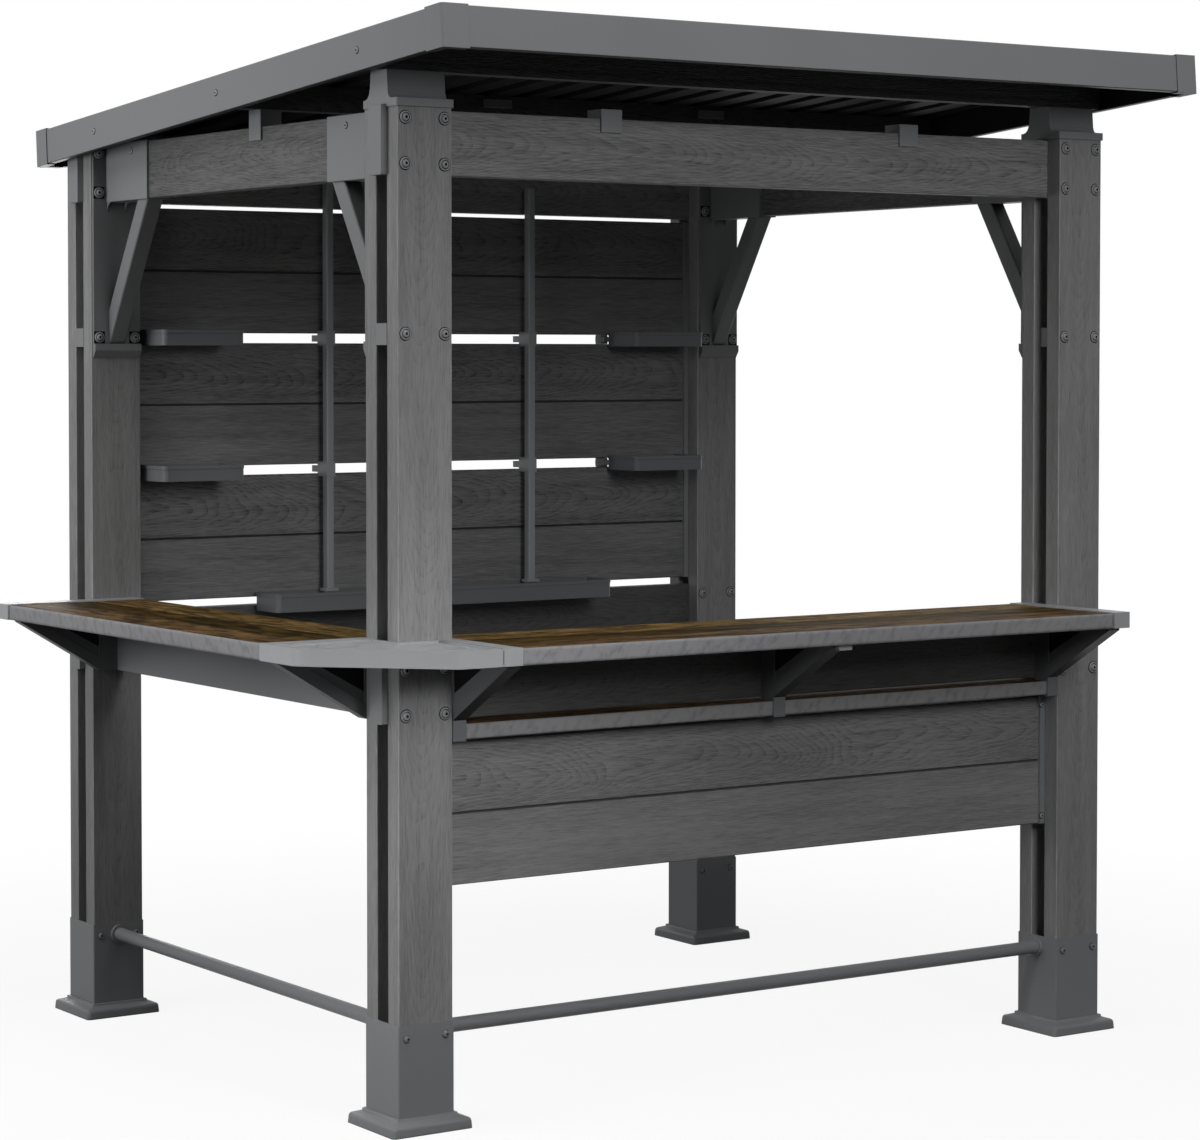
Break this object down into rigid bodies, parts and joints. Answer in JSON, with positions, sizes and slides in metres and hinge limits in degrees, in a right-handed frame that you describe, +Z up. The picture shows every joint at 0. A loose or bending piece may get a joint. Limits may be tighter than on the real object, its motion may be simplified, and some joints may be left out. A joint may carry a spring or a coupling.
{
  "type": "garden bar gazebo",
  "caption": "Open garden bar gazebo on double-plank posts with a shed roof, bar counters at the front and left, a boarded back wall with shelf trays and an open right side to walk in by.",
  "frame": {"origin": "middle of the outline on the ground", "axes": "+Z up, -Y to the front counter, +X to the open side"},
  "size_m": [2.327, 1.9812, 2.3912],
  "materials": {
    "grained_charcoal_resin": "wood grain",
    "smooth_charcoal_metal": "powder coated",
    "fascia_aluminium": "powder coated",
    "roof_steel": "painted",
    "counter_board": "wood grain",
    "grey_resin": "smooth"
  },
  "bodies": {
    "root": {"front_left_post": "grained_charcoal_resin", "front_right_post": "grained_charcoal_resin", "back_left_post": "grained_charcoal_resin", "back_right_post": "grained_charcoal_resin", "post_spacers": "smooth_charcoal_metal", "post_sleeves": "smooth_charcoal_metal", "base_covers": "smooth_charcoal_metal", "front_top_beam": "grained_charcoal_resin", "back_top_beam": "grained_charcoal_resin", "left_top_beam": "grained_charcoal_resin", "right_top_beam": "grained_charcoal_resin", "beam_sleeves": "smooth_charcoal_metal", "end_caps": "smooth_charcoal_metal", "front_bar_rail": "grained_charcoal_resin", "back_bar_rail": "grained_charcoal_resin", "left_apron": "smooth_charcoal_metal", "left_knee_braces": "smooth_charcoal_metal", "right_knee_braces": "smooth_charcoal_metal", "front_post_caps": "smooth_charcoal_metal", "front_purlin": "grained_charcoal_resin", "mid_purlin": "grained_charcoal_resin", "rear_purlin": "grained_charcoal_resin", "roof_sheet": "roof_steel", "front_fascia": "fascia_aluminium", "back_fascia": "fascia_aluminium", "side_fascias": "fascia_aluminium", "fascia_corners": "fascia_aluminium", "beam_saddles": "smooth_charcoal_metal", "front_counter": "counter_board", "left_counter": "counter_board", "counter_trims": "grey_resin", "corner_tray": "grey_resin", "counter_brackets": "smooth_charcoal_metal", "front_panel": "grained_charcoal_resin", "panel_channels": "smooth_charcoal_metal", "bottle_shelf": "counter_board", "bottle_shelf_brackets": "grey_resin", "back_wall_panels": "grained_charcoal_resin", "shelf_poles": "smooth_charcoal_metal", "pole_clamps": "smooth_charcoal_metal", "long_tray": "grey_resin", "small_trays": "grey_resin", "front_foot_rail": "smooth_charcoal_metal", "left_foot_rail": "smooth_charcoal_metal", "bottle_opener": "grey_resin"}
  },
  "joints": []
}
